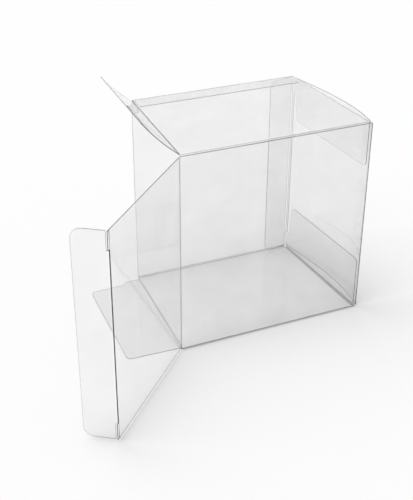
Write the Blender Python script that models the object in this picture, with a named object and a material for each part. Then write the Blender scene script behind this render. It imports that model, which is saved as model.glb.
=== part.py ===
"""Game box protector: a clear folding sleeve, lying on one of its side walls.

The real piece is one sheet of clear plastic, cut, creased, folded and glued along one seam. Its left
end stands open, with the closure panel swung out and the upper dust flap raised. Its right end is
closed: the dust flaps are folded in, and the closure panel bows out over them.

Frame: +X runs along the sleeve towards its closed end, +Y from front to back and +Z up. The origin is
the centre of the sleeve's underside. Lengths are in metres and angles in degrees.
"""

import math

import bmesh
import bpy
from mathutils import Matrix, Vector

MM = 0.001

# The sheet and its folds
SHEET = 0.5 * MM
CREASE_INSIDE = 0.8 * MM
CREASE_STEPS = 5
FOLD_GAP = 0.3 * MM

# The sleeve, outside
SLEEVE_LENGTH = 142.0 * MM
SLEEVE_DEPTH = 103.5 * MM
SLEEVE_HEIGHT = 148.0 * MM
BACK_RELIEF = 4.7 * MM

# The glued seam along the back of the top wall
SEAM_STEP_IN = 0.3 * MM
GLUE_FLAP_WIDTH = 15.0 * MM
GLUE_FLAP_TAPER = 1.5 * MM

# The dust flaps
TOP_DUST_LENGTH = 34.0 * MM
BOTTOM_DUST_LENGTH = 39.5 * MM
DUST_FRONT_RELIEF = 1.0 * MM
DUST_BACK_RELIEF = 3.5 * MM
DUST_SHOULDER = 11.5 * MM
DUST_STEP_RUN = 1.5 * MM
DUST_STEP_IN = 3.5 * MM
DUST_TAPER = 2.0 * MM
DUST_FRONT_RADIUS = 3.5 * MM
DUST_BACK_RADIUS = 4.0 * MM
DUST_CURL = 1.0 * MM
DUST_STEPS = 5
CORNER_STEPS = 6

# The last stretch of a dust flap, as a multiple of its largest corner radius
DUST_CORNER_ROOM = 1.3

# The closures: a panel, and a tuck flap that folds at a crease between two slits
CLOSURE_BOW = 5.7 * MM
BOW_STEPS = 12
TUCK_DEPTH = 22.0 * MM
TUCK_CLEARANCE = 0.3 * MM
TUCK_CORNER_RADIUS = 7.0 * MM
SLIT_LENGTH = 12.5 * MM
SLIT_GAP = 0.4 * MM
SLIT_TAB = 1.0 * MM

# How the photo shows the open end
LEFT_CLOSURE_OPEN = 135.6
LEFT_TUCK_FOLD = 80.0
TOP_DUST_RAISED = 45.0

# The plastic's finish, with a tint for each kind of piece
PLASTIC_ROUGHNESS = 0.08
PLASTIC_ALPHA = 0.3
SLEEVE_TINT = (0.93, 0.95, 0.97)
CLOSURE_TINT = (0.94, 0.95, 0.97)
TUCK_TINT = (0.96, 0.96, 0.97)
DUST_TINT = (0.95, 0.96, 0.97)

# Worked out from the sizes above
HALF_LENGTH = SLEEVE_LENGTH / 2
HALF_DEPTH = SLEEVE_DEPTH / 2
HALF_SHEET = SHEET / 2
CREASE_RADIUS = CREASE_INSIDE + SHEET
HINGE_REACH = HALF_SHEET + FOLD_GAP
CLOSURE_EDGE = 2 * SHEET + FOLD_GAP
FOLD_RADIUS = CREASE_RADIUS - HALF_SHEET
DUST_FRONT = -HALF_DEPTH + CREASE_RADIUS + DUST_FRONT_RELIEF
DUST_BACK = HALF_DEPTH - DUST_BACK_RELIEF
SEAM_Y = HALF_DEPTH - CREASE_RADIUS - SEAM_STEP_IN
LAP_Y = SEAM_Y - 2 * SHEET
CLOSURE_WIDTH = SLEEVE_DEPTH - HALF_SHEET - SHEET - TUCK_CLEARANCE - HALF_SHEET
RELIEF_ANGLE = math.atan2(BACK_RELIEF, SLEEVE_DEPTH)
TUCK_LEAN = math.degrees(math.asin(TUCK_DEPTH / 2 / CLOSURE_WIDTH))

# A strip that its crease bends from one edge only stands out most at this share of its width, and its
# cubic reaches this height there
BOW_PEAK_SHARE = 1 - 1 / math.sqrt(3)
BOW_PEAK = BOW_PEAK_SHARE * (1 - BOW_PEAK_SHARE) * (2 - BOW_PEAK_SHARE)

# How near, as a share of the sheet's thickness, two places count as one, and how much of half the sheet
# the rounding of a hinge edge takes
NEAR_SHARE = 0.1
HINGE_ROUND = 0.96 * HALF_SHEET
HINGE_ROUND_STEPS = 3
MERGE = 0.002 * SHEET

# A direction counts as the same from this cosine up
SAME_WAY = 0.99

# Faces that meet at more than this angle, in degrees, keep a sharp edge between them
SHARP_ANGLE = 30.0

UP = Vector((0.0, 0.0, 1.0))


def clear_scene():
    """Start from an empty scene."""
    for item in list(bpy.data.objects):
        bpy.data.objects.remove(item, do_unlink=True)


def clear_plastic(name, tint):
    """A clear, glossy plastic, see-through and slightly tinted."""
    material = bpy.data.materials.new(name)
    material.use_nodes = True
    shader = material.node_tree.nodes["Principled BSDF"]
    shader.inputs["Base Color"].default_value = (*tint, 1.0)
    shader.inputs["Roughness"].default_value = PLASTIC_ROUGHNESS
    shader.inputs["Metallic"].default_value = 0.0
    shader.inputs["Alpha"].default_value = PLASTIC_ALPHA
    return material


def make_object(name, bm, tint):
    """Close a bmesh into a named object with a material of its own."""
    bmesh.ops.recalc_face_normals(bm, faces=bm.faces[:])
    mesh = bpy.data.meshes.new(name)
    bm.to_mesh(mesh)
    bm.free()
    mesh.materials.append(clear_plastic(name, tint))
    mesh.shade_smooth()
    mesh.set_sharp_from_angle(angle=math.radians(SHARP_ANGLE))
    item = bpy.data.objects.new(name, mesh)
    bpy.context.scene.collection.objects.link(item)
    return item


def arc(centre, radius, start, end, steps):
    """Points of an arc in a plane, both ends included."""
    points = []
    for step in range(steps + 1):
        angle = math.radians(start + (end - start) * step / steps)
        points.append((centre[0] + radius * math.cos(angle), centre[1] + radius * math.sin(angle)))
    return points


def relief(y):
    """How far the ends of the walls stand in from the closures, growing towards the back."""
    return BACK_RELIEF * (y + HALF_DEPTH) / SLEEVE_DEPTH


def dust_plane(y):
    """Distance from the middle of the sleeve to the outside of a folded-in dust flap."""
    return HALF_LENGTH - SHEET - FOLD_GAP - relief(y)


def dust_axis(y):
    """Distance from the middle of the sleeve to the axis that a left dust flap turns on."""
    return dust_plane(y) - HALF_SHEET


def extrude_face(bm, face):
    """Grow one face by nothing yet, and return the new face."""
    starts_a_flap = all(edge.is_boundary for edge in face.edges)
    grown = bmesh.ops.extrude_face_region(bm, geom=[face])["geom"]
    if face.is_valid and not starts_a_flap:
        bmesh.ops.delete(bm, geom=[face], context="FACES_ONLY")
    return next(item for item in grown if isinstance(item, bmesh.types.BMFace))


def edges_through_sheet(bm, near):
    """The short edges across the sheet's thickness that lie within one sheet of a point."""
    found = []
    for edge in bm.edges:
        middle = (edge.verts[0].co + edge.verts[1].co) / 2
        if (middle - near).length < SHEET and abs(edge.calc_length() - SHEET) < NEAR_SHARE * SHEET:
            found.append(edge)
    return found


def round_corner(bm, near, radius):
    """Round one corner of a flap, seen square on."""
    edges = edges_through_sheet(bm, near)
    bmesh.ops.bevel(
        bm, geom=edges, offset=radius, affect="EDGES", segments=CORNER_STEPS, profile=0.5, material=-1,
    )


def round_hinge_edge(bm, along, out):
    """Round the edge that turns on a crease, at the origin of the flap's own frame."""
    edges = []
    for edge in bm.edges:
        run = edge.verts[1].co - edge.verts[0].co
        beside = max(abs(vert.co.dot(out) + HALF_SHEET) for vert in edge.verts)
        lengthways = abs(run.dot(along)) > SAME_WAY * run.length
        if run.length > 2 * SHEET and lengthways and beside < NEAR_SHARE * SHEET:
            edges.append(edge)
    bmesh.ops.bevel(
        bm,
        geom=edges,
        offset=HINGE_ROUND,
        affect="EDGES",
        segments=HINGE_ROUND_STEPS,
        profile=0.5,
        material=-1,
    )


def sleeve_section():
    """Outer and inner points of the sleeve's cross-section, as (y, z) pairs side by side."""
    inner_radius = CREASE_RADIUS - SHEET
    front_y = -HALF_DEPTH + CREASE_RADIUS
    back_y = HALF_DEPTH - CREASE_RADIUS
    top = SLEEVE_HEIGHT
    pairs = []

    def corner(centre, start, end):
        outer = arc(centre, CREASE_RADIUS, start, end, CREASE_STEPS)
        inner = arc(centre, inner_radius, start, end, CREASE_STEPS)
        pairs.extend(zip(outer, inner))

    corner((front_y, top - CREASE_RADIUS), 180, 90)
    pairs.append(((DUST_FRONT, top), (DUST_FRONT, top - SHEET)))
    pairs.append(((DUST_BACK, top), (DUST_BACK, top - SHEET)))
    pairs.append(((LAP_Y, top), (LAP_Y, top - SHEET)))
    pairs.append(((LAP_Y + HALF_SHEET, top), (LAP_Y, top - 2 * SHEET)))
    pairs.append(((SEAM_Y, top), (SEAM_Y - HALF_SHEET, top - 2 * SHEET)))
    pairs.append(((SEAM_Y, top - SHEET), (SEAM_Y, top - 2 * SHEET)))
    corner((back_y, top - SHEET - CREASE_RADIUS), 90, 0)
    corner((back_y, CREASE_RADIUS), 0, -90)
    pairs.append(((DUST_BACK, 0.0), (DUST_BACK, SHEET)))
    pairs.append(((DUST_FRONT, 0.0), (DUST_FRONT, SHEET)))
    corner((front_y, CREASE_RADIUS), -90, -180)
    return pairs


def sleeve_walls(bm):
    """Extrude the section along X, then set each wall's ends in by its relief."""
    outer = []
    inner = []
    for (outer_y, outer_z), (inner_y, inner_z) in sleeve_section():
        outer.append(bm.verts.new((-HALF_LENGTH, outer_y, outer_z)))
        inner.append(bm.verts.new((-HALF_LENGTH, inner_y, inner_z)))
    cap = []
    for index in range(len(outer)):
        after = (index + 1) % len(outer)
        cap.append(bm.faces.new((outer[index], outer[after], inner[after], inner[index])))
    grown = bmesh.ops.extrude_face_region(bm, geom=cap)["geom"]
    moved = [item for item in grown if isinstance(item, bmesh.types.BMVert)]
    bmesh.ops.translate(bm, verts=moved, vec=(SLEEVE_LENGTH, 0.0, 0.0))
    front_wall_ends_at = -HALF_DEPTH + CREASE_RADIUS + NEAR_SHARE * SHEET
    for vert in bm.verts:
        if vert.co.y < front_wall_ends_at:
            reach = HALF_LENGTH - HALF_SHEET - HINGE_REACH
        elif vert.co.x < 0:
            reach = dust_axis(vert.co.y) - HINGE_REACH
        else:
            reach = dust_plane(vert.co.y) - CREASE_RADIUS
        vert.co.x = math.copysign(reach, vert.co.x)


def right_end_face(bm, z_low, z_high):
    """The end of the top or bottom wall that a right dust flap grows from."""
    for face in bm.faces:
        middle = face.calc_center_median()
        if middle.x > 0 and z_low < middle.z < z_high and face.normal.x > SAME_WAY:
            span = max(v.co.y for v in face.verts) - min(v.co.y for v in face.verts)
            if span > SLEEVE_DEPTH / 2:
                return face
    raise ValueError("no wall end between these heights")


def grow_dust_flap(bm, face, out, along, reach):
    """Extrude a dust flap from a face: a shoulder, a step in, a tapered back edge and round corners."""
    back = max(vert.co.dot(along) for vert in face.verts)
    front = min(vert.co.dot(along) for vert in face.verts)
    base = face.calc_center_median()
    run = reach - DUST_SHOULDER - DUST_STEP_RUN
    corner_run = DUST_CORNER_ROOM * max(DUST_FRONT_RADIUS, DUST_BACK_RADIUS)
    stages = [(DUST_SHOULDER, 0.0), (DUST_STEP_RUN, DUST_STEP_IN)]
    for length in [(run - corner_run) / DUST_STEPS] * DUST_STEPS + [corner_run]:
        stages.append((length, DUST_TAPER * length / run))
    for length, set_in in stages:
        face = extrude_face(bm, face)
        level = max(vert.co.dot(along) for vert in face.verts)
        for vert in face.verts:
            at_back = vert.co.dot(along) > level - SHEET
            vert.co += out * length
            if at_back:
                vert.co -= along * set_in
    middle = base.dot(along)
    free_edge = base + out * reach
    round_corner(bm, free_edge + along * (front - middle), DUST_FRONT_RADIUS)
    round_corner(bm, free_edge + along * (back - DUST_STEP_IN - DUST_TAPER - middle), DUST_BACK_RADIUS)


def fold_in_dust_flap(bm, top):
    """Fold a dust flap of the closed end round its crease and down or up inside the sleeve."""
    along = Vector((-BACK_RELIEF, SLEEVE_DEPTH, 0.0)).normalized()
    if top:
        face = right_end_face(bm, SLEEVE_HEIGHT - SHEET, SLEEVE_HEIGHT)
        crease_z = SLEEVE_HEIGHT - CREASE_RADIUS
        turn = math.radians(90) / CREASE_STEPS
        length = TOP_DUST_LENGTH
    else:
        face = right_end_face(bm, 0.0, SHEET)
        crease_z = CREASE_RADIUS
        turn = -math.radians(90) / CREASE_STEPS
        length = BOTTOM_DUST_LENGTH
    centre = Vector((dust_plane(0.0) - CREASE_RADIUS, 0.0, crease_z))
    for _ in range(CREASE_STEPS):
        face = extrude_face(bm, face)
        bmesh.ops.rotate(bm, verts=face.verts[:], cent=centre, matrix=Matrix.Rotation(turn, 3, along))
    out = -UP if top else UP
    grow_dust_flap(bm, face, out, along, length - CREASE_RADIUS)


def glue_flap_block():
    """The glue flap, sunk into the top wall so that the two become one."""
    bm = bmesh.new()
    free_y = HALF_DEPTH - GLUE_FLAP_WIDTH
    joined_y = LAP_Y + HALF_SHEET
    low = SLEEVE_HEIGHT - 2 * SHEET
    high = SLEEVE_HEIGHT - HALF_SHEET

    def ends(y, taper):
        left = -(dust_axis(y) - HINGE_REACH) + SHEET + taper
        right = dust_plane(y) - CREASE_RADIUS - SHEET - taper
        return [(left, y), (right, y)]

    plan = ends(free_y, GLUE_FLAP_TAPER) + ends(joined_y, 0.0)[::-1]
    face = bm.faces.new([bm.verts.new((x, y, low)) for x, y in plan])
    grown = bmesh.ops.extrude_face_region(bm, geom=[face])["geom"]
    moved = [item for item in grown if isinstance(item, bmesh.types.BMVert)]
    bmesh.ops.translate(bm, verts=moved, vec=UP * (high - low))
    block = make_object("glue_flap_block", bm, SLEEVE_TINT)
    block.hide_render = True
    block.display_type = "WIRE"
    return block


def make_sleeve():
    """Four walls in one loop, with the glued seam and the closed end's dust flaps."""
    bm = bmesh.new()
    sleeve_walls(bm)
    bmesh.ops.recalc_face_normals(bm, faces=bm.faces[:])
    fold_in_dust_flap(bm, top=True)
    fold_in_dust_flap(bm, top=False)
    sleeve = make_object("sleeve", bm, SLEEVE_TINT)
    glue = sleeve.modifiers.new("glue_flap", "BOOLEAN")
    glue.operation = "UNION"
    glue.solver = "EXACT"
    glue.object = glue_flap_block()
    return sleeve


def make_left_dust_flap(name, length, height, raised):
    """A dust flap of the open end. Its own X runs along its crease and its own Y points outwards."""
    bm = bmesh.new()
    span = (DUST_BACK - DUST_FRONT) / math.cos(RELIEF_ANGLE)
    along = Vector((1.0, 0.0, 0.0))
    out = Vector((0.0, 1.0, 0.0))
    corners = [(0.0, -HALF_SHEET), (span, -HALF_SHEET), (span, HALF_SHEET), (0.0, HALF_SHEET)]
    face = bm.faces.new([bm.verts.new((x, -HALF_SHEET, z)) for x, z in corners])
    grow_dust_flap(bm, face, out, along, length + HALF_SHEET)
    round_hinge_edge(bm, along, out)
    if raised:
        for vert in bm.verts:
            share = min(max(vert.co.y / length, 0.0), 1.0)
            vert.co.z -= DUST_CURL * curl(share)
    flap = make_object(name, bm, DUST_TINT)
    flap.location = (-dust_axis(DUST_FRONT), DUST_FRONT, height)
    flap.rotation_euler = (math.radians(raised), 0.0, math.radians(90) - RELIEF_ANGLE)
    return flap


def curl(share):
    """The rise of a flap that curls evenly, from 0 at both edges to 1 in the middle."""
    return 4 * share * (1 - share)


def bow(share):
    """The rise of a panel that its hinge crease springs outwards, from 0 at both edges to 1."""
    return share * (1 - share) * (2 - share) / BOW_PEAK


def bowed_panel():
    """Stations of a closure panel from its hinge to its crease, and the angle it ends at."""
    chord = CLOSURE_WIDTH - FOLD_RADIUS
    stations = []
    for step in range(BOW_STEPS + 1):
        share = step / BOW_STEPS
        stations.append((CLOSURE_BOW * bow(share), chord * share))
    first = Vector(stations[0])
    start = first - (Vector(stations[1]) - first).normalized() * HALF_SHEET
    end_angle = math.degrees(math.atan(CLOSURE_BOW / BOW_PEAK / chord))
    return [tuple(start)] + stations, end_angle


def add_strip(bm, stations, rows):
    """Quads between neighbouring stations in plan and between each low and high of the rows."""
    for (x0, y0), (x1, y1) in zip(stations, stations[1:]):
        for low, high in rows:
            corners = ((x0, y0, low), (x1, y1, low), (x1, y1, high), (x0, y0, high))
            bm.faces.new([bm.verts.new(corner) for corner in corners])


def closure_rows():
    """Heights that the slits divide a closure into, from bottom to top."""
    low = CLOSURE_EDGE
    high = SLEEVE_HEIGHT - CLOSURE_EDGE
    levels = [low, low + SLIT_LENGTH - SLIT_GAP, low + SLIT_LENGTH]
    levels += [high - SLIT_LENGTH, high - SLIT_LENGTH + SLIT_GAP, high]
    return list(zip(levels, levels[1:]))


def thicken(bm):
    """Turn a sheet's middle surface into a solid of the sheet's thickness."""
    bmesh.ops.remove_doubles(bm, verts=bm.verts[:], dist=MERGE)
    bmesh.ops.recalc_face_normals(bm, faces=bm.faces[:])
    bm.normal_update()
    for vert in bm.verts:
        vert.co += vert.normal * HALF_SHEET
    bmesh.ops.solidify(bm, geom=bm.faces[:], thickness=SHEET)


def make_left_closure_panel():
    """The open end's closure panel. Its own Z is the crease that it turns on."""
    bm = bmesh.new()
    rows = closure_rows()
    tab_rows = [rows[0], rows[-1]]
    crease = CLOSURE_WIDTH - HINGE_REACH
    add_strip(bm, [(0.0, -HALF_SHEET), (0.0, crease)], rows)
    add_strip(bm, [(0.0, crease), (0.0, CLOSURE_WIDTH + SLIT_TAB)], tab_rows)
    thicken(bm)
    round_hinge_edge(bm, UP, Vector((0.0, 1.0, 0.0)))
    panel = make_object("left_closure_panel", bm, CLOSURE_TINT)
    panel.location = (-HALF_LENGTH + HALF_SHEET, -HALF_DEPTH + HALF_SHEET, 0.0)
    panel.rotation_euler.z = math.radians(LEFT_CLOSURE_OPEN)
    return panel


def make_left_tuck_flap(panel):
    """The open end's tuck flap, on the panel's free edge. Its own Z is its crease."""
    bm = bmesh.new()
    rows = closure_rows()
    slit_end = SLIT_TAB + SLIT_GAP
    corner_start = TUCK_DEPTH - TUCK_CORNER_RADIUS
    add_strip(bm, [(0.0, -HALF_SHEET), (0.0, slit_end)], [rows[2]])
    add_strip(bm, [(0.0, slit_end), (0.0, corner_start), (0.0, TUCK_DEPTH)], rows)
    thicken(bm)
    round_tuck_corners(bm, Vector((0.0, TUCK_DEPTH, 0.0)))
    round_hinge_edge(bm, UP, Vector((0.0, 1.0, 0.0)))
    tuck = make_object("left_tuck_flap", bm, TUCK_TINT)
    tuck.parent = panel
    tuck.location = (0.0, CLOSURE_WIDTH, 0.0)
    tuck.rotation_euler.z = math.radians(-LEFT_TUCK_FOLD)
    return tuck


def round_tuck_corners(bm, free_edge):
    """Round a tuck flap's two free corners."""
    for height in (CLOSURE_EDGE, SLEEVE_HEIGHT - CLOSURE_EDGE):
        corner = Vector((free_edge.x, free_edge.y, height))
        round_corner(bm, corner, TUCK_CORNER_RADIUS)


def make_right_closure_panel():
    """The closed end's closure: a bowed panel, its crease and its tuck flap, in one folded piece."""
    bm = bmesh.new()
    rows = closure_rows()
    tab_rows = [rows[0], rows[-1]]
    panel, end_angle = bowed_panel()
    add_strip(bm, panel, rows)

    end = Vector(panel[-1])
    ahead = Vector((-math.sin(math.radians(end_angle)), math.cos(math.radians(end_angle))))
    tab_end = end + ahead * (FOLD_RADIUS + SLIT_TAB)
    add_strip(bm, [tuple(end), tuple(tab_end)], tab_rows)

    centre = end - Vector((ahead.y, -ahead.x)) * FOLD_RADIUS
    crease = arc(tuple(centre), FOLD_RADIUS, end_angle, 90 + TUCK_LEAN, CREASE_STEPS)
    add_strip(bm, crease, [rows[2]])

    inward = Vector((-math.cos(math.radians(TUCK_LEAN)), -math.sin(math.radians(TUCK_LEAN))))
    root = Vector(crease[-1])
    slit_end = root + inward * SLIT_GAP
    corner_start = root + inward * (TUCK_DEPTH - FOLD_RADIUS - TUCK_CORNER_RADIUS)
    free_edge = root + inward * (TUCK_DEPTH - FOLD_RADIUS)
    add_strip(bm, [tuple(root), tuple(slit_end)], [rows[2]])
    add_strip(bm, [tuple(slit_end), tuple(corner_start), tuple(free_edge)], rows)

    thicken(bm)
    round_tuck_corners(bm, free_edge)
    round_hinge_edge(bm, UP, -Vector((*panel[0], 0.0)).normalized())
    closure = make_object("right_closure_panel", bm, CLOSURE_TINT)
    closure.location = (HALF_LENGTH - HALF_SHEET, -HALF_DEPTH + HALF_SHEET, 0.0)
    closure.rotation_euler.z = RELIEF_ANGLE
    return closure


def build():
    """Make every piece of the sleeve."""
    clear_scene()
    make_sleeve()
    panel = make_left_closure_panel()
    make_left_tuck_flap(panel)
    top_level = SLEEVE_HEIGHT - HALF_SHEET
    make_left_dust_flap("left_top_dust_flap", TOP_DUST_LENGTH, top_level, TOP_DUST_RAISED)
    make_left_dust_flap("left_bottom_dust_flap", BOTTOM_DUST_LENGTH, HALF_SHEET, 0.0)
    make_right_closure_panel()


build()
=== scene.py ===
# %% [markdown]
# Game box protector
#
# The object is one sheet of clear plastic, 0.5 mm thick, cut, creased, folded and glued along one seam. It
# stands open at its left end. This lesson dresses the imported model: it folds each piece again from a flat
# sheet, with finer creases, and gives it a clear plastic that shows its folds and its cut edges.

import math

import bmesh
import bpy
from mathutils import Matrix, Vector


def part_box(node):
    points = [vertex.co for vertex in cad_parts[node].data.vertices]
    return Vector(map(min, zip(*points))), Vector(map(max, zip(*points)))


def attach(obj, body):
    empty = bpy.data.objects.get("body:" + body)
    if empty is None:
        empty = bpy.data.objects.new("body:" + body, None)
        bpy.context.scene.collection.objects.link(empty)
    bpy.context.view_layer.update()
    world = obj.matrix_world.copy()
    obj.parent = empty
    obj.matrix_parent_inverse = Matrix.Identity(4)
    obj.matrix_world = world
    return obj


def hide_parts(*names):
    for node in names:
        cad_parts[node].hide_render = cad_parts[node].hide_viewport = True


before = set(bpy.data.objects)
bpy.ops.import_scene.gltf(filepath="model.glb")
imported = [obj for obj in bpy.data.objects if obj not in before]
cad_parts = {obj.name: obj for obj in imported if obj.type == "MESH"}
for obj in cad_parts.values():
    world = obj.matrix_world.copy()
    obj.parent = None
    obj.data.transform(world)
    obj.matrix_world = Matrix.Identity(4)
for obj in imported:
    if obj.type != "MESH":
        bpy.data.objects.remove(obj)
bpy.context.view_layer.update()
print("pieces to dress:", sorted(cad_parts))

# %% [markdown]
# The camera
#
# A camera can be placed by eye, but the straight edges of a box fix it far better: the corners of the sleeve
# and of the open closure leave one place where it can stand. It looks down at about thirty degrees, from the
# front and somewhat to the left, through a lens of about 70 mm. Places are in metres and turns in degrees.

# %% Camera
CAMERA_PLACE = (-0.27940, -0.56369, 0.39560)
CAMERA_TURN = (60.304, -0.249, -23.837)
LENS_PIXELS = 967.28
FRAME_HEIGHT_PIXELS = 500
SENSOR = 36.0

camera_data = bpy.data.cameras.new("camera")
camera_data.sensor_width = SENSOR
camera_data.lens = LENS_PIXELS / FRAME_HEIGHT_PIXELS * SENSOR
camera = bpy.data.objects.new("camera", camera_data)
camera.location = CAMERA_PLACE
camera.rotation_euler = [math.radians(angle) for angle in CAMERA_TURN]
bpy.context.scene.collection.objects.link(camera)
bpy.context.scene.camera = camera
print("lens:", round(camera_data.lens, 2), "mm")

# %% [markdown]
# Shader maths as expressions
#
# A material can be built node by node, but it is easier to read as a formula. This class wraps a socket, so
# that adding or multiplying two values adds the Math node for it. Every other node comes from one method,
# which takes the node's settings and what goes into its sockets.


# %% Helper: material graphs
class Value:
    """A number socket that takes part in Python expressions."""

    def __init__(self, graph, socket):
        self.graph = graph
        self.socket = socket

    def _math(self, operation, *values):
        inputs = dict(enumerate(values))
        return self.graph.node("ShaderNodeMath", {"operation": operation}, inputs).value()

    def __add__(self, other):
        return self._math("ADD", self, other)

    def __radd__(self, other):
        return self._math("ADD", other, self)

    def __sub__(self, other):
        return self._math("SUBTRACT", self, other)

    def __rsub__(self, other):
        return self._math("SUBTRACT", other, self)

    def __mul__(self, other):
        return self._math("MULTIPLY", self, other)

    def __rmul__(self, other):
        return self._math("MULTIPLY", other, self)

    def over(self, edge):
        return self._math("GREATER_THAN", self, edge)

    def most(self, other):
        return self._math("MAXIMUM", self, other)


class Node:
    """A node whose outputs are picked by name."""

    def __init__(self, graph, item):
        self.graph = graph
        self.item = item

    def socket(self, name=0):
        return self.item.outputs[name]

    def value(self, name=0):
        return Value(self.graph, self.item.outputs[name])


class Graph:
    """The node tree of a material or a world."""

    def __init__(self, owner):
        owner.use_nodes = True
        self.tree = owner.node_tree
        self.tree.nodes.clear()

    def node(self, kind, settings=None, inputs=None):
        item = self.tree.nodes.new(kind)
        for name, setting in (settings or {}).items():
            setattr(item, name, setting)
        for name, given in (inputs or {}).items():
            if isinstance(given, Value):
                given = given.socket
            if isinstance(given, bpy.types.NodeSocket):
                self.tree.links.new(given, item.inputs[name])
            else:
                item.inputs[name].default_value = given
        return Node(self, item)


def mix_shaders(graph, share, first, second):
    """Two shaders mixed: all of the first where the share is 0, all of the second where it is 1."""
    return graph.node("ShaderNodeMixShader", {}, {0: share, 1: first.socket(), 2: second.socket()})


print("graph helpers ready")

# %% [markdown]
# Marks of handling
#
# A handled sheet is never quite clean: it has a faint mottle, smudges that dull its gloss, a few dust specks
# and a slight waviness. They could be painted, but noise on Object coordinates needs no unwrapping, keeps
# its real size in metres and is different on each flap. Each mark is noise of its own size and detail, and
# comes in between two levels of that noise.

# %% Marks of handling
MM = 0.001
MOTTLE = (26 * MM, 3.0, 0.35, 0.65)
SMUDGE = (17 * MM, 4.0, 0.52, 0.75)
SPECK = (1.1 * MM, 1.0, 0.78, 0.82)
WAVE = (30 * MM, 1.0)
WAVE_HEIGHT = 0.12 * MM
WAVE_STRENGTH = 0.5


def noise(graph, place, size, detail):
    """Noise whose blotches are about this wide."""
    inputs = {"Vector": place, "Scale": 1 / size, "Detail": detail}
    return graph.node("ShaderNodeTexNoise", {}, inputs).value("Fac")


def mark(graph, place, size, detail, none, full):
    """How strong a mark is, from 0 at one level of its noise to 1 at another."""
    inputs = {"Value": noise(graph, place, size, detail), "From Min": none, "From Max": full}
    return graph.node("ShaderNodeMapRange", {"clamp": True}, inputs).value("Result")


def waves(graph, place):
    """The slight waviness of the sheet, as a bump."""
    inputs = {"Strength": WAVE_STRENGTH, "Distance": WAVE_HEIGHT, "Height": noise(graph, place, *WAVE)}
    return graph.node("ShaderNodeBump", {}, inputs)


print("smudges are about", round(SMUDGE[0] / MM), "mm wide")

# %% [markdown]
# How lamps shine through the sheet
#
# A clear sheet casts a faint shadow. Glass shaders cast a black one, because a ray that looks for a lamp
# can't be bent on its way. So such rays take another path here, and so do the rays that leave a matt
# surface, or a wide lamp would be counted twice: both pass straight through with a light tint. They lose
# more where they enter at a slant, which darkens the table close to the walls, as in the real thing.

# %% The straight way through
PLASTIC_IOR = 1.55
SLANT_LOSS = 1.7
BLACK = (0.0, 0.0, 0.0, 1.0)


def straight_through(graph, tint):
    """A film that passes light unbent, and loses more of it the more it slants."""
    film = graph.node("ShaderNodeBsdfTransparent", {}, {"Color": (tint, tint, tint, 1.0)})
    held = graph.node("ShaderNodeBsdfTransparent", {}, {"Color": BLACK})
    mirrored = graph.node("ShaderNodeFresnel", {}, {"IOR": PLASTIC_IOR}).value()
    entering = 1 - graph.node("ShaderNodeNewGeometry").value("Backfacing")
    return mix_shaders(graph, SLANT_LOSS * mirrored * entering, film, held)


print("the straight way through is ready")

# %% [markdown]
# The clear plastic
#
# Thin clear sheet bends light only where it curves, so it almost vanishes on its flats and shows at its
# creases and cut edges. It could be a see-through surface with painted lines; here a glass shader does much
# of this by itself, since each piece is a closed sheet with two faces, and the finishes below add painted
# shade on those lines. A little dust is mixed in as a matt shader, which gives the faint haze of plastic
# that has been handled.

# %% The clear plastic
COLOUR_SHARE, COLOUR_A, COLOUR_B, COLOUR_OUT = 0, 6, 7, 2
SMUDGE_ROUGHNESS = 0.03
SMUDGE_HAZE = 0.012
SPECK_COVER = 0.25
DUST = {"Base Color": (0.86, 0.86, 0.87, 1.0), "Roughness": 0.6}


def grey(level):
    """A neutral tint, a trace cooler than grey."""
    return (level, level - 0.002, level + 0.003, 1.0)


def clear_plastic(name, pale, deep, roughness, haze, lamp_tint):
    """A clear plastic between two greys, with the marks of handling, that lets lamps through."""
    material = bpy.data.materials.new(name)
    graph = Graph(material)
    place = graph.node("ShaderNodeTexCoord").socket("Object")
    mottle, smudge, speck = [mark(graph, place, *look) for look in (MOTTLE, SMUDGE, SPECK)]
    greys = {COLOUR_SHARE: mottle, COLOUR_A: grey(pale), COLOUR_B: grey(deep)}
    tint = graph.node("ShaderNodeMix", {"data_type": "RGBA"}, greys)
    clear = {
        "Base Color": tint.socket(COLOUR_OUT),
        "Roughness": roughness + SMUDGE_ROUGHNESS * smudge,
        "IOR": PLASTIC_IOR,
        "Transmission Weight": 1.0,
        "Normal": waves(graph, place).socket(),
    }
    plastic = graph.node("ShaderNodeBsdfPrincipled", {}, clear)
    dust = graph.node("ShaderNodeBsdfPrincipled", {}, DUST)
    surface = mix_shaders(graph, haze + SMUDGE_HAZE * smudge + SPECK_COVER * speck, plastic, dust)
    passing = straight_through(graph, lamp_tint)
    path = graph.node("ShaderNodeLightPath")
    for kind in ("Is Diffuse Ray", "Is Shadow Ray"):
        surface = mix_shaders(graph, path.socket(kind), surface, passing)
    graph.node("ShaderNodeOutputMaterial", {}, {"Surface": surface.socket()})
    return material


print("clear plastic ready, index", PLASTIC_IOR)
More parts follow.
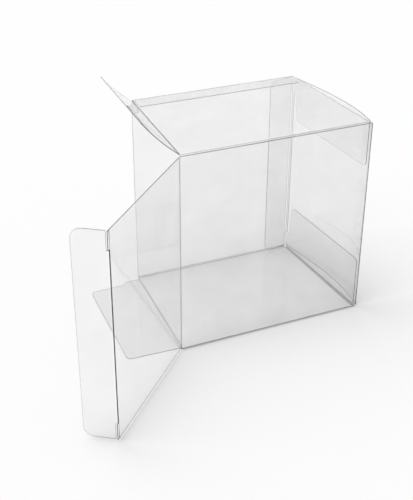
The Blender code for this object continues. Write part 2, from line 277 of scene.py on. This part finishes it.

# %% [markdown]
# The finishes of one sheet
#
# The sheet is the same plastic all over, but it doesn't look the same. Its cut edges look greyer, because
# light runs along inside it and leaves there; that grey is painted on them and on their rim as shade. A
# crease is pressed by a steel rule, and the light it bends shows it as a paler band between two darker
# lines, and the crease of the open closure shows as the darkest line of all. One glass all over leaves those
# lines too faint, so narrow bands of faces have finishes of their own: the dark lines and the lower edges
# close over the table are painted shade, and the tuck flap's pale root is a painted highlight. Each finish
# has its two greys, its roughness, its haze, and how much of a lamp's light it passes.

# %% Finishes
# After the clear sheet and the fold band, the greys below are painted: shade on the cut edges, their rim,
# the crease lines and the lower edges, darkest at the open closure, and a highlight on the tuck flap's root.
LOOKS = {
    "clear_sheet": (0.955, 0.925, 0.0, 0.025, 0.985),
    "fold_band": (0.96, 0.91, 0.08, 0.02, 0.15),
    "cut_edge_painted_shade": (0.50, 0.40, 0.15, 0.10, 0.5),
    "edge_rim_painted_shade": (0.76, 0.66, 0.05, 0.05, 0.7),
    "painted_shade": (0.44, 0.34, 0.10, 0.05, 0.1),
    "painted_dark_shade": (0.10, 0.04, 0.20, 0.02, 0.1),
    "painted_highlight": (0.99, 0.97, 0.05, 0.0, 0.9),
}
SHEET_SLOT, FOLD_SLOT, EDGE_SLOT, RIM_SLOT, PAINTED_SHADE_SLOT, DARK_SHADE_SLOT, HIGHLIGHT_SLOT = range(len(LOOKS))
FINISHES = [clear_plastic(name, *look) for name, look in LOOKS.items()]
print("finishes:", [finish.name for finish in FINISHES])

# %% [markdown]
# The sheet and its creases
#
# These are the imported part's own sizes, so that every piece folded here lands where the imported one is. A
# crease has one radius at the middle of the sheet and a larger one at its outer face. The sleeve's middle
# is at X = 0 and Y = 0, and it stands on Z = 0.

# %% Sizes that all pieces share
THICKNESS = 0.5 * MM
HALF_SHEET = THICKNESS / 2
FOLD_RADIUS = 1.05 * MM
CREASE_RADIUS = FOLD_RADIUS + HALF_SHEET
HALF_LENGTH = 71.0 * MM
HALF_DEPTH = 51.75 * MM
HEIGHT = 148.0 * MM
FOLD_GAP = 0.3 * MM
HINGE_REACH = HALF_SHEET + FOLD_GAP
HINGE_TRIM = 0.1 * MM
ROUNDING = 0.01 * MM
UP = Vector((0.0, 0.0, 1.0))


def near(one, other):
    """Whether two places along an axis are the same, but for rounding."""
    return abs(one - other) < ROUNDING


print("sleeve, mm:", [round(size / MM, 1) for size in (2 * HALF_LENGTH, 2 * HALF_DEPTH, HEIGHT)])

# %% [markdown]
# Pulling out a flat panel
#
# A folded carton could be cut from a cube, but folding it as its maker does is simpler and keeps each panel
# joined to the next. A flat panel is an edge pulled out straight, which is an extrusion and a move.


# %% Helper: pull
def verts_of(geometry):
    return [item for item in geometry if isinstance(item, bmesh.types.BMVert)]


def edges_of(geometry):
    return [item for item in geometry if isinstance(item, bmesh.types.BMEdge)]


def pull(bm, edges, move, slot=SHEET_SLOT):
    """Pull edges out straight, and return the new front edges."""
    before = set(bm.faces)
    grown = bmesh.ops.extrude_edge_only(bm, edges=edges)["geom"]
    ahead = verts_of(grown)
    bmesh.ops.translate(bm, verts=ahead, vec=move)
    for face in bm.faces:
        if face not in before:
            face.material_index = slot
    fresh = set(ahead)
    return [edge for edge in edges_of(grown) if all(vert in fresh for vert in edge.verts)]


def pull_even(bm, edges, move, steps):
    """Pull edges out straight in even steps, so that the sheet can be curled later."""
    for _ in range(steps):
        edges = pull(bm, edges, move / steps)
    return edges


print("pull ready")

# %% [markdown]
# Rolling a crease
#
# A crease is the same edge rolled round a small radius, which is what spin does. It could be a bevel made
# afterwards, but rolling it in bands gives each band its finish on the way. A band is a count of faces and
# a slot, in the order of rolling. The dark bands are painted shade, and they differ as the light falls on
# each crease of the real sheet: the front one at the top has its darker line in front, the front one on the
# table is dark on its lower half, as a painted contact shadow, and the crease of the closed end's lower
# dust flap is dark on its upper side.

# %% Helper: roll
# The dark bands of these creases are painted shade; on the table crease they stand for a contact shadow.
CREASE = ((2, PAINTED_SHADE_SLOT), (4, FOLD_SLOT), (2, PAINTED_SHADE_SLOT))
FAINT_CREASE = ((2, RIM_SLOT), (4, FOLD_SLOT), (2, RIM_SLOT))
TOP_CREASE = ((3, PAINTED_SHADE_SLOT), (4, FOLD_SLOT), (1, PAINTED_SHADE_SLOT))
TABLE_CREASE = ((4, PAINTED_SHADE_SLOT), (4, FOLD_SLOT))
FLAP_CREASE = ((5, FOLD_SLOT), (3, PAINTED_SHADE_SLOT))


def roll(bm, edges, centre, axis, angle, bands=CREASE):
    """Roll edges round an axis in bands, such as a line of painted shade, a paler band and such a line
    again.
    """
    steps = sum(count for count, slot in bands)
    for count, slot in bands:
        before = set(bm.faces)
        turn = math.radians(angle * count / steps)
        spun = bmesh.ops.spin(
            bm, geom=edges, cent=centre, axis=axis, angle=turn, steps=count, use_duplicate=False,
        )
        for face in bm.faces:
            if face not in before:
                face.material_index = slot
        edges = edges_of(spun["geom_last"])
    return edges


print("faces round a crease:", sum(count for count, slot in CREASE))

# %% [markdown]
# Thickness and cut edges
#
# The sheet stays infinitely thin until it is folded, because a thin sheet rolls cleanly. Then a narrow rim
# is inset along its outline, and it gets its thickness to both sides of its middle. A Solidify modifier
# could do the same, but here the faces that join the two skins are known at once: they are the cut edges.

# %% Helpers: round corners, thickness and finishes
RIM = 0.35 * MM
WELD = 0.001 * MM
CORNER_STEPS = 10


def round_corners(bm, corners, radius):
    """Round a flat sheet's corners, each given by a point."""
    picked = []
    for corner in corners:
        picked.append(min(bm.verts, key=lambda vert: (vert.co - corner).length))
    bmesh.ops.bevel(
        bm, geom=picked, offset=radius, affect="VERTICES", segments=CORNER_STEPS, profile=0.5, material=-1,
    )


def thicken(bm):
    """Give a folded sheet its thickness, and mark its cut edges."""
    bmesh.ops.remove_doubles(bm, verts=bm.verts[:], dist=WELD)
    bmesh.ops.recalc_face_normals(bm, faces=bm.faces[:])
    rim = bmesh.ops.inset_region(
        bm, faces=bm.faces[:], thickness=RIM, use_boundary=True, use_even_offset=True,
    )
    # The rim gets a grey finish that is painted shade.
    for face in rim["faces"]:
        face.material_index = RIM_SLOT
    bm.normal_update()
    for vert in bm.verts:
        vert.co += vert.normal * HALF_SHEET
    skin = set(bm.verts)
    bmesh.ops.solidify(bm, geom=bm.faces[:], thickness=THICKNESS)
    # The cut edges get a darker grey finish that is painted shade.
    for face in bm.faces:
        on_skin = sum(vert in skin for vert in face.verts)
        if 0 < on_skin < len(face.verts):
            face.material_index = EDGE_SLOT
    bmesh.ops.recalc_face_normals(bm, faces=bm.faces[:])


def refinish(bm, old, new, chosen):
    """Give another finish to the chosen ones among the faces that have one of the old finishes."""
    for face in bm.faces:
        if face.material_index in old and chosen(face.calc_center_median()):
            face.material_index = new


print("rim along the cut edges:", round(RIM / MM, 2), "mm")

# %% [markdown]
# From a folded sheet to a piece
#
# Each finished sheet stands for one piece of the imported model: it hides that piece, rides on its body and
# carries all the finishes. Creases are shaded smooth and cut edges sharp. The print shows how far each side
# of the new piece lies inside the imported piece's box, so that nothing sticks out of it unseen.

# %% Helper: dress
SHARP = math.radians(35.0)


def dress(bm, node, body):
    """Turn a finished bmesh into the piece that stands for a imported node."""
    mesh = bpy.data.meshes.new(node + "_sheet")
    bm.to_mesh(mesh)
    bm.free()
    for finish in FINISHES:
        mesh.materials.append(finish)
    mesh.shade_smooth()
    mesh.set_sharp_from_angle(angle=SHARP)
    piece = bpy.data.objects.new(node + "_sheet", mesh)
    bpy.context.scene.collection.objects.link(piece)
    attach(piece, body)
    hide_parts(node)
    low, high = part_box(node)
    spare = []
    for axis in range(3):
        values = [vert.co[axis] for vert in mesh.vertices]
        spare += [round((min(values) - low[axis]) / MM, 3), round((high[axis] - max(values)) / MM, 3)]
    print(piece.name, "faces:", len(mesh.polygons), "inside the packed box by, mm:", spare)
    return piece


print("creases are smooth up to", round(math.degrees(SHARP)), "degrees")

# %% [markdown]
# The sleeve's walls
#
# The real strip starts at the glue flap, goes down the back, along the bottom, up the front and over the
# top, and ends on the glue flap again. A tube with four faces would be quicker, but pulled and rolled in
# that order the seam is a true lap, with the top wall's cut edge lying on the glue flap.

# %% Sleeve: the rolled strip
GLUE_WIDTH = 15.0 * MM
LAP_GAP = 0.03 * MM
SEAM_ROOM = 0.3 * MM
SEAM_Y = HALF_DEPTH - CREASE_RADIUS - SEAM_ROOM


def wall_strip(bm):
    """The glue flap and the four walls as one rolled strip, square at both ends."""
    back = HALF_DEPTH - CREASE_RADIUS
    low = CREASE_RADIUS
    lap_top = HEIGHT - THICKNESS - LAP_GAP
    start = Vector((0.0, HALF_DEPTH - GLUE_WIDTH, lap_top - HALF_SHEET))
    ends = [bm.verts.new(start + Vector((x, 0.0, 0.0))) for x in (-HALF_LENGTH, HALF_LENGTH)]
    edges = [bm.edges.new(ends)]
    edges = pull(bm, edges, (0.0, back - start.y, 0.0))
    crease_z = lap_top - CREASE_RADIUS
    edges = roll(bm, edges, (0.0, back, crease_z), (1, 0, 0), -90)
    edges = pull(bm, edges, (0.0, 0.0, low - crease_z))
    edges = roll(bm, edges, (0.0, back, low), (1, 0, 0), -90)
    edges = pull(bm, edges, (0.0, -2 * back, 0.0))
    edges = roll(bm, edges, (0.0, -back, low), (1, 0, 0), -90, TABLE_CREASE)
    edges = pull(bm, edges, (0.0, 0.0, HEIGHT - CREASE_RADIUS - low))
    edges = roll(bm, edges, (0.0, -back, HEIGHT - CREASE_RADIUS), (1, 0, 0), -90, TOP_CREASE)
    pull(bm, edges, (0.0, SEAM_Y + back, 0.0))


sleeve = bmesh.new()
wall_strip(sleeve)
print("strip, corners:", len(sleeve.verts))

# %% [markdown]
# Where the walls end
#
# The strip's ends aren't square on the real sheet. The front wall is the longest, since the closures hinge
# on it, and the other walls step back more and more towards the rear, so that a closure can lie flush over
# them. One rule moves every end point along X, which is less work than to cut the ends with planes.

# %% Sleeve: the ends
RELIEF = 4.7 * MM
GLUE_TAPER = 1.5 * MM


def relief(y):
    """How far the walls' ends stand in from the closures."""
    return RELIEF * (y + HALF_DEPTH) / (2 * HALF_DEPTH)


def set_ends(bm):
    """Move the walls' ends to where each wall really ends."""
    glue_z = HEIGHT - THICKNESS - LAP_GAP - HALF_SHEET
    for vert in bm.verts:
        y = vert.co.y
        on_front = y < -HALF_DEPTH + CREASE_RADIUS + ROUNDING
        if on_front:
            reach = HALF_LENGTH - HALF_SHEET - HINGE_REACH
        elif vert.co.x < 0:
            reach = HALF_LENGTH - THICKNESS - FOLD_GAP - relief(y) - HALF_SHEET - HINGE_REACH
        else:
            reach = HALF_LENGTH - THICKNESS - FOLD_GAP - relief(y) - CREASE_RADIUS
        on_glue_flap = near(vert.co.z, glue_z) and y < HALF_DEPTH - CREASE_RADIUS + ROUNDING
        if on_glue_flap:
            share = (HALF_DEPTH - CREASE_RADIUS - y) / (GLUE_WIDTH - CREASE_RADIUS)
            reach -= THICKNESS + GLUE_TAPER * share
        vert.co.x = math.copysign(reach, vert.co.x)


print("the ends step back by up to", round(relief(HALF_DEPTH) / MM, 2), "mm")

# %% [markdown]
# The outline of a dust flap
#
# All four dust flaps have one outline: a shoulder about as long as the closure's slit, a step in behind it,
# where the closure's tab locks, then a tapered back edge and two round corners. It could be drawn as a
# polygon, but pulled out in stages it is joined to its crease, and in fine stages it can be curled later.

# %% Helper: dust flap outline
DUST_SHOULDER = 11.5 * MM
DUST_STEP_RUN = 1.5 * MM
DUST_STEP_IN = 3.5 * MM
DUST_TAPER = 2.0 * MM
DUST_FRONT_CORNER = 3.5 * MM
DUST_BACK_CORNER = 4.0 * MM


def grow_dust_flap(bm, edges, out, length, along, steps):
    """Pull a dust flap out: a shoulder, a step in, a tapered back edge and two round corners."""
    edges = pull_even(bm, edges, out * DUST_SHOULDER, steps)
    stages = [(DUST_STEP_RUN, DUST_STEP_IN)]
    run = length - DUST_SHOULDER - DUST_STEP_RUN
    stages += [(run / steps, DUST_TAPER / steps)] * steps
    for stage, narrower in stages:
        edges = pull(bm, edges, out * stage)
        back = max((vert for edge in edges for vert in edge.verts), key=lambda vert: vert.co.dot(along))
        back.co -= along * narrower
    tips = sorted({vert for edge in edges for vert in edge.verts}, key=lambda vert: vert.co.dot(along))
    front, back = tips[0].co.copy(), tips[-1].co.copy()
    round_corners(bm, [front], DUST_FRONT_CORNER)
    round_corners(bm, [back], DUST_BACK_CORNER)


print("shoulder of a dust flap:", round(DUST_SHOULDER / MM, 1), "mm")

# %% [markdown]
# The dust flaps of the closed end
#
# Two dust flaps are folded in behind the closed end's panel, from the ends of the top and bottom walls. The
# walls are scored along X at the flaps' two edges, so that a flap can grow from the middle part of a wall's
# end. They never move while that closure is shut, so they stay part of the sleeve.

# %% Sleeve: the closed end's dust flaps
DUST_FRONT_ROOM = 1.0 * MM
DUST_BACK_ROOM = 3.5 * MM
DUST_FRONT = -HALF_DEPTH + CREASE_RADIUS + DUST_FRONT_ROOM
DUST_BACK = HALF_DEPTH - DUST_BACK_ROOM
TOP_DUST_LENGTH = 34.0 * MM
BOTTOM_DUST_LENGTH = 39.5 * MM
END_LINE = Vector((-RELIEF, 2 * HALF_DEPTH, 0.0)).normalized()


def cut_across(bm, y):
    """Score the walls along X at this depth, so that a flap can start there."""
    geometry = bm.verts[:] + bm.edges[:] + bm.faces[:]
    bmesh.ops.bisect_plane(bm, geom=geometry, dist=WELD, plane_co=(0, y, 0), plane_no=(0, 1, 0))


def closed_dust_flap(bm, z, turn, out, length, bands):
    """Fold a dust flap of the closed end in from the wall's end at this height."""
    ends = []
    for edge in bm.edges:
        front, back = sorted(vert.co.y for vert in edge.verts)
        at_the_end = all(near(vert.co.z, z) and vert.co.x > 0 for vert in edge.verts)
        if at_the_end and near(front, DUST_FRONT) and near(back, DUST_BACK):
            ends.append(edge)
    centre = ends[0].verts[0].co + out * FOLD_RADIUS
    edges = roll(bm, ends, centre, END_LINE, turn, bands)
    grow_dust_flap(bm, edges, out, length - CREASE_RADIUS, END_LINE, 1)


cut_across(sleeve, DUST_FRONT)
cut_across(sleeve, DUST_BACK)
set_ends(sleeve)
closed_dust_flap(sleeve, HEIGHT - HALF_SHEET, 90, -UP, TOP_DUST_LENGTH, FAINT_CREASE)
closed_dust_flap(sleeve, HALF_SHEET, -90, UP, BOTTOM_DUST_LENGTH, FLAP_CREASE)
print("folded sleeve, corners:", len(sleeve.verts))

# %% [markdown]
# The glued seam
#
# Where the top wall lies on the glue flap, the glue fills the gap and its cut edges hardly show: only the
# seam's edge is seen, as a thin line. So once the sleeve has its thickness, the rim there loses its painted
# shade and becomes plain sheet, and the cut edges get the rim's lighter painted shade.

# %% Sleeve: the finished piece
LAP_DEPTH = 4 * THICKNESS
LAP_MARGIN = 1.0 * MM


def on_glued_seam(place):
    """Whether a point lies on the lap that the glue fills."""
    beside = SEAM_Y + LAP_MARGIN > place.y > HALF_DEPTH - GLUE_WIDTH - LAP_MARGIN
    return place.z > HEIGHT - LAP_DEPTH and beside


thicken(sleeve)
refinish(sleeve, (RIM_SLOT,), SHEET_SLOT, on_glued_seam)
refinish(sleeve, (EDGE_SLOT,), RIM_SLOT, on_glued_seam)
dress(sleeve, "sleeve", "sleeve_body")

# %% [markdown]
# The dust flaps of the open end
#
# Both turn on their creases at the ends of the top and bottom walls. The upper one was left raised and has
# taken a slight curl; the lower one lies flat on the table. Each is made flat beside the origin, where its
# outline is simple, and is then turned and moved to its crease with one matrix.

# %% Open dust flaps
SLANT = math.atan2(RELIEF, 2 * HALF_DEPTH)
DUST_CURL = 1.0 * MM
CURL_STEPS = 8
DUST_RAISED = 45.0


def open_dust_flap(node, body, length, height, raised):
    """A dust flap of the open end, made flat and then turned about its crease."""
    bm = bmesh.new()
    span = (DUST_BACK - DUST_FRONT) / math.cos(SLANT)
    ends = [bm.verts.new((x, HINGE_TRIM - HALF_SHEET, 0.0)) for x in (0.0, span)]
    edges = [bm.edges.new(ends)]
    out = Vector((0.0, 1.0, 0.0))
    steps = CURL_STEPS if raised else 1
    grow_dust_flap(bm, edges, out, length + HALF_SHEET - HINGE_TRIM, Vector((1.0, 0.0, 0.0)), steps)
    if raised:
        for vert in bm.verts:
            share = min(max(vert.co.y / length, 0.0), 1.0)
            vert.co.z -= 4 * DUST_CURL * share * (1 - share)
    thicken(bm)
    axis_x = -(HALF_LENGTH - THICKNESS - FOLD_GAP - relief(DUST_FRONT) - HALF_SHEET)
    place = Matrix.Translation((axis_x, DUST_FRONT, height))
    turn = Matrix.Rotation(math.radians(90) - SLANT, 4, "Z") @ Matrix.Rotation(math.radians(raised), 4, "X")
    bm.transform(place @ turn)
    return dress(bm, node, body)


open_dust_flap(
    "left_top_dust_flap", "left_top_dust",
    TOP_DUST_LENGTH, HEIGHT - HALF_SHEET, DUST_RAISED,
)
open_dust_flap(
    "left_bottom_dust_flap", "left_bottom_dust",
    BOTTOM_DUST_LENGTH, HALF_SHEET, 0.0,
)

# %% [markdown]
# Slits and tabs
#
# Each end has a closure panel with a tuck flap. The crease between them is cut through at both ends by a
# short slit, which leaves a small tab that locks on the dust flap. A Boolean could cut the slits, but a
# column of edges that already ends at the slits' heights needs no cutting: its middle grows into the tuck
# flap and its two ends into the tabs.

# %% Closure sizes
CLOSURE_EDGE = 2 * THICKNESS + FOLD_GAP
CLOSURE_WIDTH = 2 * HALF_DEPTH - HALF_SHEET - THICKNESS - FOLD_GAP - HALF_SHEET
TUCK_DEPTH = 22.0 * MM
TUCK_CORNER = 7.0 * MM
SLIT_LENGTH = 12.5 * MM
SLIT_GAP = 0.4 * MM
SLIT_TAB = 1.0 * MM
LEVELS = [
    CLOSURE_EDGE,
    CLOSURE_EDGE + SLIT_LENGTH - SLIT_GAP,
    CLOSURE_EDGE + SLIT_LENGTH,
    HEIGHT - CLOSURE_EDGE - SLIT_LENGTH,
    HEIGHT - CLOSURE_EDGE - SLIT_LENGTH + SLIT_GAP,
    HEIGHT - CLOSURE_EDGE,
]
print("closure width:", round(CLOSURE_WIDTH / MM, 2), "mm, slits at:", [round(z / MM, 1) for z in LEVELS])


# %% Helpers: columns, tabs and tuck flaps
def upright_edges(bm, x, y, levels):
    """A column of edges between these heights."""
    verts = [bm.verts.new((x, y, z)) for z in levels]
    return [bm.edges.new(pair) for pair in zip(verts, verts[1:])]


def between(edges, low, high):
    """Those of a column's edges that lie between two heights."""
    low -= ROUNDING
    high += ROUNDING
    return [edge for edge in edges if all(low < vert.co.z < high for vert in edge.verts)]


def add_tabs(bm, column, ahead, length):
    """Carry the panel's two ends on past the crease, as the tabs of the slits."""
    for low, high in ((LEVELS[0], LEVELS[1]), (LEVELS[4], LEVELS[5])):
        pull(bm, between(column, low, high), ahead * length)


def tuck_from(bm, middle, ahead, depth):
    """A tuck flap from the middle of a crease: past the slits it widens to the full height."""
    edges = pull(bm, middle, ahead * SLIT_GAP)
    root_low = min((vert for edge in edges for vert in edge.verts), key=lambda vert: vert.co.z).co.copy()
    before = set(bm.edges)
    pull(bm, edges, ahead * (depth - SLIT_GAP))
    for level, slit, end in (LEVELS[2::-1], LEVELS[3:]):
        side = [
            edge for edge in bm.edges
            if edge not in before and all(near(vert.co.z, level) for vert in edge.verts)
        ]
        grown = pull(bm, side, UP * (slit - level))
        pull(bm, grown, UP * (end - slit))
    tip = root_low + ahead * (depth - SLIT_GAP)
    round_corners(bm, [Vector((tip.x, tip.y, z)) for z in (LEVELS[0], LEVELS[-1])], TUCK_CORNER)


print("tuck flap:", round(TUCK_DEPTH / MM, 1), "mm deep, with slits of", round(SLIT_LENGTH / MM, 1), "mm")

# %% [markdown]
# The open closure
#
# The panel is pulled out flat from its hinge, thickened, and swung to where it was left. Its last strip, at
# the crease of the tuck flap, is painted as the darkest shade of the box. Its lower edge, close over the
# table, is painted dark too, as a contact shadow. Both could be thin pieces of their own, but a change of
# finish on the sheet's own faces is enough.

# %% Left closure panel
PAINTED_DARK_WIDTH = 0.6 * MM
CLOSURE_OPEN = 135.6
CREASE_Y = CLOSURE_WIDTH - HINGE_REACH

straight = Vector((0.0, 1.0, 0.0))
left_hinge = Vector((-HALF_LENGTH + HALF_SHEET, -HALF_DEPTH + HALF_SHEET, 0.0))
swing = Matrix.Translation(left_hinge) @ Matrix.Rotation(math.radians(CLOSURE_OPEN), 4, "Z")


def by_the_table(place):
    """Whether a point lies on an upright sheet's lower edge."""
    return place.z < LEVELS[0] + RIM


def by_the_crease(place):
    """Whether a point of the flat panel lies beside the crease of its tuck flap."""
    return abs(place.y - CREASE_Y) < 2 * RIM


panel = bmesh.new()
column = upright_edges(panel, 0.0, -HALF_SHEET, LEVELS)
column = pull(panel, column, straight * (CREASE_Y + HALF_SHEET - PAINTED_DARK_WIDTH))
# This strip gets the darkest painted shade.
column = pull(panel, column, straight * PAINTED_DARK_WIDTH, DARK_SHADE_SLOT)
add_tabs(panel, column, straight, CLOSURE_WIDTH + SLIT_TAB - CREASE_Y)
thicken(panel)
# The crease's rim and cut edges get the darkest painted shade, and the lower edge a painted contact shadow.
refinish(panel, (RIM_SLOT, EDGE_SLOT), DARK_SHADE_SLOT, by_the_crease)
refinish(panel, (RIM_SLOT, EDGE_SLOT), DARK_SHADE_SLOT, by_the_table)
panel.transform(swing)
dress(panel, "left_closure_panel", "left_closure")

# %% [markdown]
# The open closure's tuck flap
#
# The tuck flap starts at the crease with a narrow strip between the slits and widens behind them. It is
# made flat too, then folded about the crease and swung with its panel: its two matrices are multiplied.
# Its root catches the light: a painted highlight shows it as a pale line beside the panel's painted dark
# one.

# %% Left tuck flap
TUCK_FOLD = 80.0


def by_the_root(place):
    """Whether a point of the flat tuck flap lies on its edge at the crease."""
    return place.y < RIM


tuck = bmesh.new()
column = upright_edges(tuck, 0.0, HINGE_TRIM - HALF_SHEET, LEVELS[2:4])
# The root strip gets a painted highlight.
column = pull(tuck, column, straight * (HALF_SHEET - HINGE_TRIM + SLIT_TAB), HIGHLIGHT_SLOT)
tuck_from(tuck, column, straight, TUCK_DEPTH - SLIT_TAB)
thicken(tuck)
# The root's rim and cut edges get the painted highlight, and the lower edge a painted contact shadow.
refinish(tuck, (RIM_SLOT, EDGE_SLOT), HIGHLIGHT_SLOT, by_the_root)
refinish(tuck, (RIM_SLOT, EDGE_SLOT), PAINTED_SHADE_SLOT, by_the_table)
fold = Matrix.Translation((0.0, CLOSURE_WIDTH, 0.0)) @ Matrix.Rotation(math.radians(-TUCK_FOLD), 4, "Z")
tuck.transform(swing @ fold)
dress(tuck, "left_tuck_flap", "left_tuck")

# %% [markdown]
# The bow of the closed end
#
# The hinge crease springs this panel outwards, so it stands out most at two fifths of its width, as a strip
# does that is bent from one edge. Such a strip has the curve s (1 - s) (2 - s), where s runs from 0 at the
# hinge to 1 at the far edge. Its greatest value is 0.3849, and the real rise is 5.7 mm there. An arc would
# be simpler, but it would stand out most in the middle.

# %% Closed end: the bow
CLOSURE_BOW = 5.7 * MM
BOW_PEAK = 0.3849
BOW_STEPS = 40
CHORD = CLOSURE_WIDTH - FOLD_RADIUS


def bow(share):
    """The rise of the bowed panel, from 0 at both edges to 1 where it stands out most."""
    return share * (1 - share) * (2 - share) / BOW_PEAK


def way(slope):
    """The direction in plan of a panel that leans outwards by this much for each metre."""
    return Vector((slope, 1.0, 0.0)).normalized()


start_way = way(2 * CLOSURE_BOW / BOW_PEAK / CHORD)
end_way = way(-CLOSURE_BOW / BOW_PEAK / CHORD)
end_angle = math.degrees(math.atan2(-end_way.x, end_way.y))
print("the bowed panel meets its crease at", round(end_angle, 1), "degrees")

# %% [markdown]
# The closed end's panel
#
# The panel is pulled out in forty short steps along its bow. At the crease the middle of the sheet rolls
# round a small radius and goes in as the tuck flap, while the two tabs carry straight on. The tuck flap
# leans to the front just so much that its far edge swings on the same circle as its crease, and so slides
# out past the back wall. Last, the whole panel is turned by the slant of the walls' ends.

# %% Closed end: the panel and its tuck flap
closure = bmesh.new()
column = upright_edges(closure, 0.0, 0.0, LEVELS)
bmesh.ops.translate(closure, verts=closure.verts[:], vec=-start_way * HALF_SHEET)
for step in range(BOW_STEPS):
    rise = CLOSURE_BOW * (bow((step + 1) / BOW_STEPS) - bow(step / BOW_STEPS))
    ahead = Vector((rise, CHORD / BOW_STEPS, 0.0))
    if step == 0:
        ahead += start_way * HALF_SHEET
    column = pull(closure, column, ahead)
add_tabs(closure, column, end_way, FOLD_RADIUS + SLIT_TAB)

lean = math.degrees(math.asin(TUCK_DEPTH / 2 / CLOSURE_WIDTH))
fold_centre = Vector((0.0, CHORD, 0.0)) - Vector((end_way.y, -end_way.x, 0.0)) * FOLD_RADIUS
middle = roll(closure, between(column, LEVELS[2], LEVELS[3]), fold_centre, UP, 90 + lean - end_angle)
inward = Vector((-math.cos(math.radians(lean)), -math.sin(math.radians(lean)), 0.0))
tuck_from(closure, middle, inward, TUCK_DEPTH - FOLD_RADIUS)
thicken(closure)
# The lower edge, close over the table, gets a painted contact shadow.
refinish(closure, (RIM_SLOT, EDGE_SLOT), DARK_SHADE_SLOT, by_the_table)
right_hinge = Vector((HALF_LENGTH - HALF_SHEET, -HALF_DEPTH + HALF_SHEET, 0.0))
closure.transform(Matrix.Translation(right_hinge) @ Matrix.Rotation(SLANT, 4, "Z"))
dress(closure, "right_closure_panel", "right_closure")

# %% [markdown]
# The table
#
# The photo has a white table that runs on into a white background, with soft grey shadows close to the
# sleeve. More light would wash out the plastic, so the table itself glows a little, but only for rays that
# come from the camera, straight or by way of a mirror image or the clear sheet. A matt surface never sees
# that glow, so the table lights nothing with it and keeps its shadows.

# %% Table
TABLE_HALF = 6.0
TABLE_GAP = 0.1 * MM
TABLE_GREY = (0.8, 0.8, 0.8, 1.0)
TABLE_GLOW = 0.27
WHITE = (1.0, 1.0, 1.0, 1.0)
HALF_BOUNCE = 0.5


def seen(graph):
    """1 for rays from the camera that have met no matt surface yet, and 0 for all others."""
    path = graph.node("ShaderNodeLightPath")
    mirrored = path.value("Is Glossy Ray").most(path.value("Is Transmission Ray"))
    bounced = path.value("Diffuse Depth").over(HALF_BOUNCE)
    return path.value("Is Camera Ray").most(mirrored) * (1 - bounced)


table_mesh = bmesh.new()
bmesh.ops.create_grid(table_mesh, x_segments=1, y_segments=1, size=TABLE_HALF)
table_data = bpy.data.meshes.new("floor")
table_mesh.to_mesh(table_data)
table_mesh.free()
table_data.transform(Matrix.Translation((0.0, 0.0, -TABLE_GAP)))
table = bpy.data.objects.new("floor", table_data)
bpy.context.scene.collection.objects.link(table)

paper = bpy.data.materials.new("white_table")
graph = Graph(paper)
glow = graph.node("ShaderNodeEmission", {}, {"Color": WHITE, "Strength": TABLE_GLOW * seen(graph)})
matt = graph.node("ShaderNodeBsdfDiffuse", {}, {"Color": TABLE_GREY})
both = graph.node("ShaderNodeAddShader", {}, {0: glow.socket(), 1: matt.socket()})
graph.node("ShaderNodeOutputMaterial", {}, {"Surface": both.socket()})
table_data.materials.append(paper)
print("table, m:", [round(size, 1) for size in table.dimensions[:2]])

# %% [markdown]
# The light
#
# The shadows are soft and fall to the right and the front, so the lamp is large and stands behind the
# sleeve on its left. An area lamp would do, but a wide sun is as strong everywhere on the table. It is left
# out of mirror images and of what shines through the sheet, where so wide a lamp would wipe out whole
# walls. The world lights the rest evenly, and shows as full white behind the sleeve.

# %% Light
SKY_FILL = 0.30
LAMP_STRENGTH = 2.3
LAMP_WIDTH = 80.0
LAMP_FROM = (-0.62, 0.32, 1.0)

world = bpy.data.worlds.new("studio")
bpy.context.scene.world = world
graph = Graph(world)
sky_strength = SKY_FILL + (1 - SKY_FILL) * seen(graph)
sky = graph.node("ShaderNodeBackground", {}, {"Color": WHITE, "Strength": sky_strength})
graph.node("ShaderNodeOutputWorld", {}, {"Surface": sky.socket()})

lamp_data = bpy.data.lights.new("soft_lamp", "SUN")
lamp_data.energy = LAMP_STRENGTH
lamp_data.angle = math.radians(LAMP_WIDTH)
lamp = bpy.data.objects.new("soft_lamp", lamp_data)
lamp.rotation_euler = Vector(LAMP_FROM).to_track_quat("Z", "Y").to_euler()
lamp.visible_glossy = False
lamp.visible_transmission = False
bpy.context.scene.collection.objects.link(lamp)
bpy.context.scene.view_settings.view_transform = "Standard"
print("lamp:", round(lamp_data.energy, 2), "over", round(math.degrees(lamp_data.angle)), "degrees")
